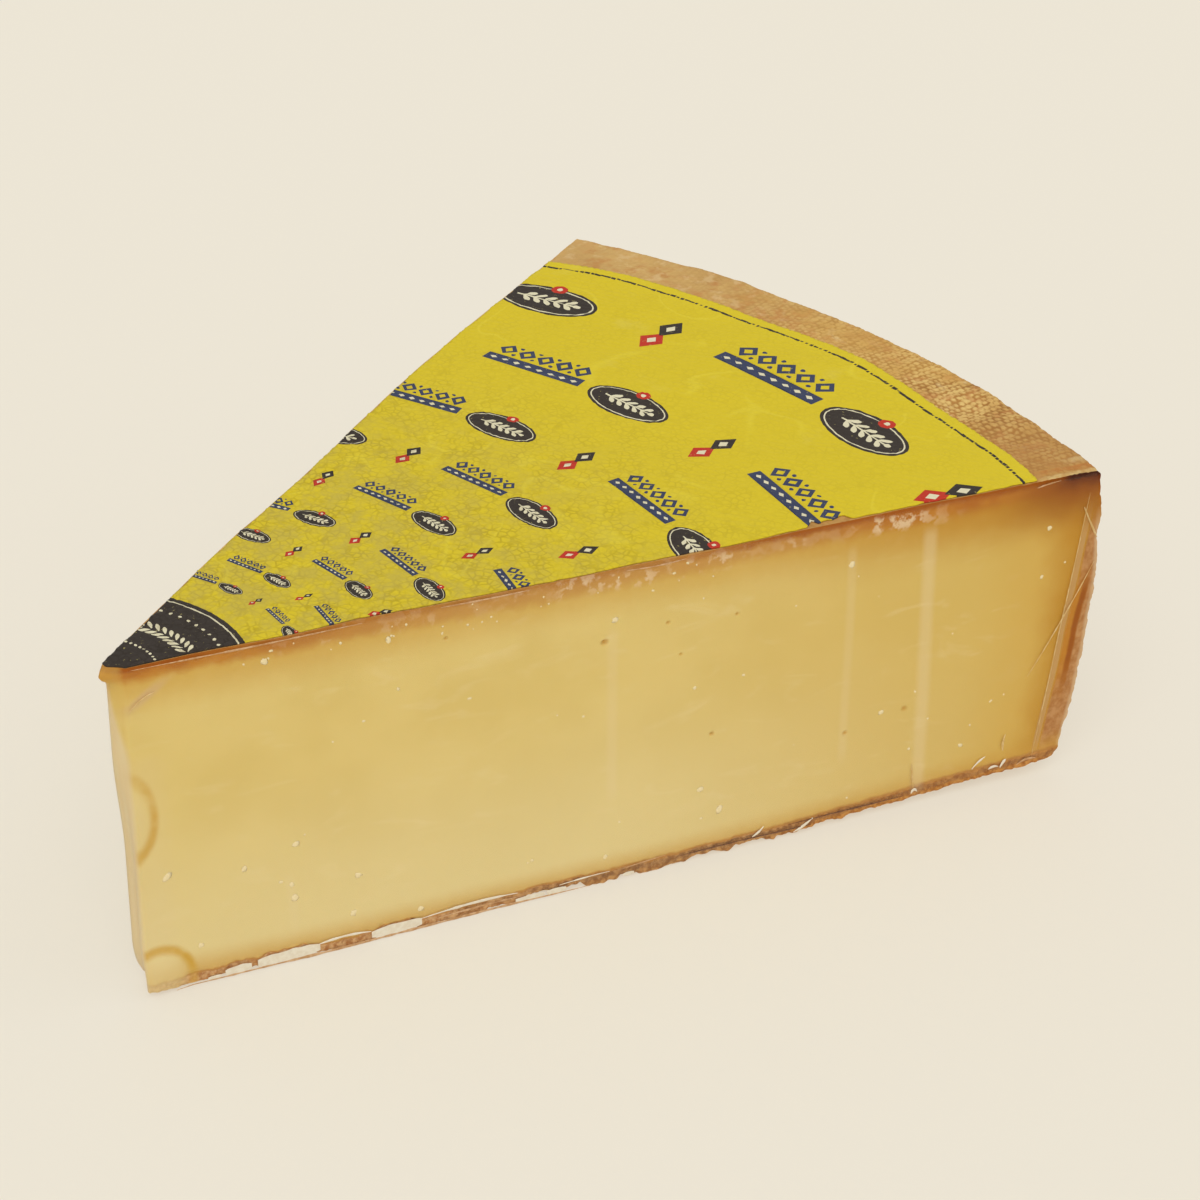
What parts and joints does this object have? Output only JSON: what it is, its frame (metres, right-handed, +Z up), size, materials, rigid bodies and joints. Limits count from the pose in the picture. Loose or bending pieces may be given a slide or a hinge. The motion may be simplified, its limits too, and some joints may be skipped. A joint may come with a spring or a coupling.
{
  "type": "cheese wedge",
  "caption": "Wedge cut from a large pressed cheese wheel, with washed rind, a printed paper label on top and cling film over the cut sides.",
  "frame": {"origin": "centre of the whole wedge's box, on the surface that it stands on", "axes": "+X from the tip to the heel along the middle of the wedge, +Z up, the near cut side faces -Y"},
  "size_m": [0.3036, 0.2208, 0.1091],
  "materials": {
    "paste": "smooth, slightly oily cut cheese with a browned rind",
    "paper": "printed paper pressed into the rind's cloth texture",
    "cling_film": "thin clear cling film"
  },
  "bodies": {
    "root": {"cheese": "paste", "label": "paper", "film": "cling_film"}
  },
  "joints": []
}
